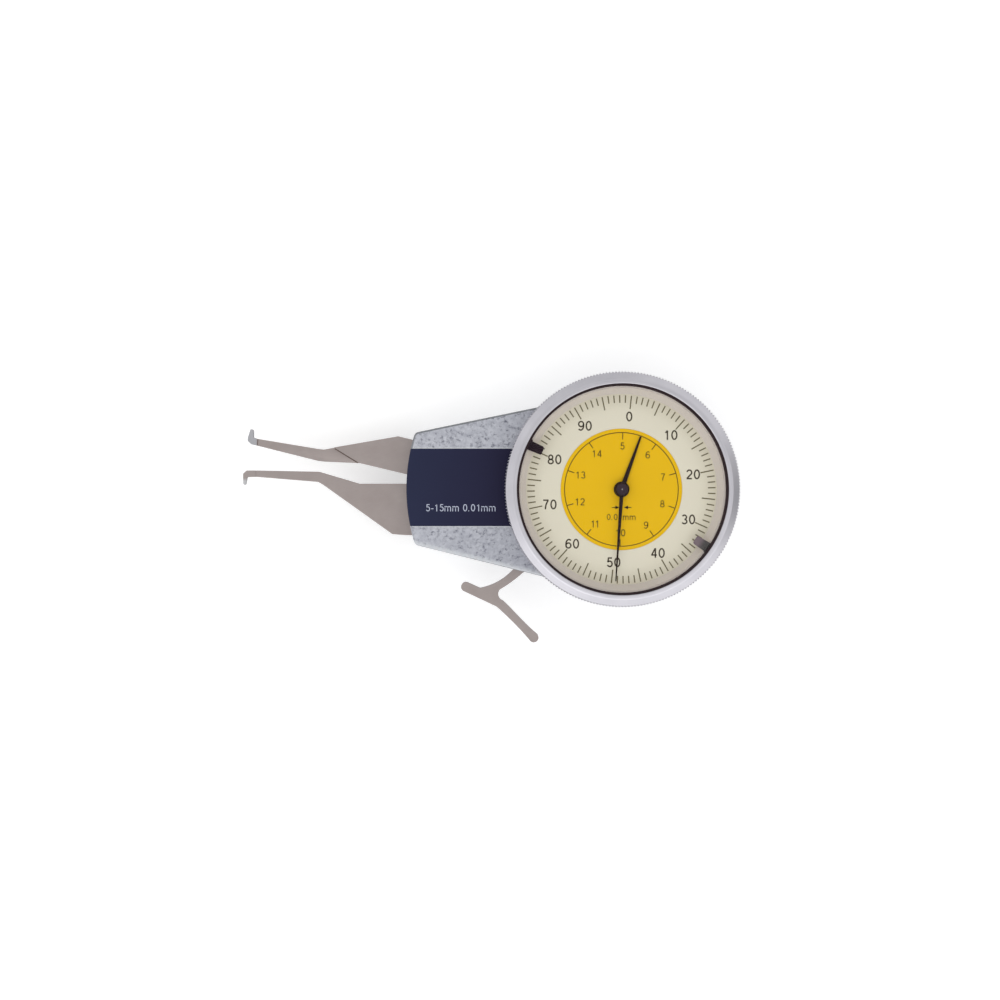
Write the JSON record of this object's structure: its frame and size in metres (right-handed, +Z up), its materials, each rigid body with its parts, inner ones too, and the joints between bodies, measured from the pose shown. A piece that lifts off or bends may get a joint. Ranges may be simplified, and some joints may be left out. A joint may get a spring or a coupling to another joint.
{
  "type": "dial bore gauge",
  "caption": "Dial caliper gauge for internal sizes: a round dial, a tapered handle, one fixed and one lever-turned arm with small outward contact tips.",
  "frame": {"origin": "on the dial's axis, at the flat rear face that it lies on", "axes": "+Z up out of the dial, -X towards the contact tips, +Y away from the finger lever"},
  "size_m": [0.1341, 0.073, 0.0265],
  "materials": {
    "hammertone": "grey hammered paint",
    "navy_paint": "satin",
    "satin_metal": "satin turned",
    "spring_steel": "ground",
    "pale_paint": "matt",
    "crystal": "polished",
    "black_rubber": "matt",
    "marker_paint": "matt",
    "arm_steel": "fine ground",
    "tip_steel": "ground",
    "brass": "satin",
    "hand_black": "matt black",
    "plate_aluminium": "satin",
    "dial_yellow": "matt printed",
    "dial_cream": "matt printed",
    "screw_steel": "plated"
  },
  "bodies": {
    "case": {"housing": "hammertone", "rear_cover": "hammertone", "name_plate": "navy_paint", "bezel_snap_ring": "spring_steel", "fixed_arm": "arm_steel", "fixed_contact": "arm_steel", "pivot_shaft": "spring_steel", "movement_lower_plate": "brass", "movement_upper_plate": "brass", "movement_pillars": "brass", "reduction_stud": "spring_steel", "dial_base": "plate_aluminium", "inner_dial": "dial_yellow", "return_spring": "spring_steel", "hairspring": "spring_steel", "hairspring_stud": "brass", "stop_pin": "spring_steel", "spring_post": "spring_steel", "cover_screws": "screw_steel", "fixed_arm_screws": "screw_steel", "plate_screws": "screw_steel", "pillar_screws": "screw_steel", "dial_base_screws": "screw_steel"},
    "arm": {"moving_arm": "arm_steel", "moving_contact": "tip_steel", "finger_lever": "arm_steel", "pivot_bush": "brass", "toothed_sector": "brass", "spring_pin": "spring_steel", "tail_screws": "screw_steel"},
    "first_train": {"first_arbor": "spring_steel", "first_wheel": "brass"},
    "second_train": {"second_arbor": "spring_steel", "second_wheel": "brass"},
    "centre_train": {"centre_arbor": "spring_steel", "cannon_pinion": "spring_steel", "long_hand": "hand_black", "hairspring_collet": "brass"},
    "reduction": {"reduction_wheel": "brass"},
    "counter": {"counter_wheel": "brass", "short_hand": "hand_black"},
    "bezel_set": {"bezel": "satin_metal", "dial_ring": "dial_cream", "spacer_ring": "pale_paint", "crystal": "crystal", "crystal_gasket": "black_rubber"},
    "low_marker": {"low_limit_marker": "marker_paint"},
    "high_marker": {"high_limit_marker": "marker_paint"}
  },
  "joints": [
    {"name": "arm_pivot", "type": "hinge", "parent": "case", "child": "arm", "pos_m": [-0.0455, 0.0032, 0.009], "axis": [0, 0, 1], "range_deg": [0, 10.8], "stiffness_Nm_per_rad": 0.3, "springref_deg": -14.32, "deforming": ["return_spring"]},
    {"name": "first_turn", "type": "hinge", "parent": "case", "child": "first_train", "pos_m": [-0.0171, 0.0012, 0.01], "axis": [0, 0, 1], "range_deg": [-1, 217]},
    {"name": "second_turn", "type": "hinge", "parent": "case", "child": "second_train", "pos_m": [-0.00679, 0.00474, 0.01], "axis": [0, 0, 1], "range_deg": [-1041.6, 4.8]},
    {"name": "centre_turn", "type": "hinge", "parent": "case", "child": "centre_train", "pos_m": [0, 0, 0.01], "axis": [0, 0, 1], "range_deg": [-17.83, 3868.8], "deforming": ["hairspring"]},
    {"name": "reduction_turn", "type": "hinge", "parent": "case", "child": "reduction", "pos_m": [0.00514, 0.0036, 0.018], "axis": [0, 0, 1], "range_deg": [-1160.64, 5.35]},
    {"name": "counter_turn", "type": "hinge", "parent": "case", "child": "counter", "pos_m": [0, 0, 0.019], "axis": [0, 0, 1], "range_deg": [-1.78, 386.88]},
    {"name": "bezel_turn", "type": "hinge", "parent": "case", "child": "bezel_set", "pos_m": [0, 0, 0.022], "axis": [0, 0, 1], "continuous": true},
    {"name": "low_marker_slide", "type": "hinge", "parent": "bezel_set", "child": "low_marker", "pos_m": [0, 0, 0.0245], "axis": [0, 0, 1], "range_deg": [-75, 75]},
    {"name": "high_marker_slide", "type": "hinge", "parent": "bezel_set", "child": "high_marker", "pos_m": [0, 0, 0.0245], "axis": [0, 0, 1], "range_deg": [-75, 75]}
  ],
  "couplings": [
    {"joint": "first_turn", "follows": "arm_pivot", "ratio": 20},
    {"joint": "second_turn", "follows": "arm_pivot", "ratio": -96},
    {"joint": "centre_turn", "follows": "arm_pivot", "ratio": 356.57},
    {"joint": "reduction_turn", "follows": "arm_pivot", "ratio": -106.97},
    {"joint": "counter_turn", "follows": "arm_pivot", "ratio": 35.657}
  ]
}
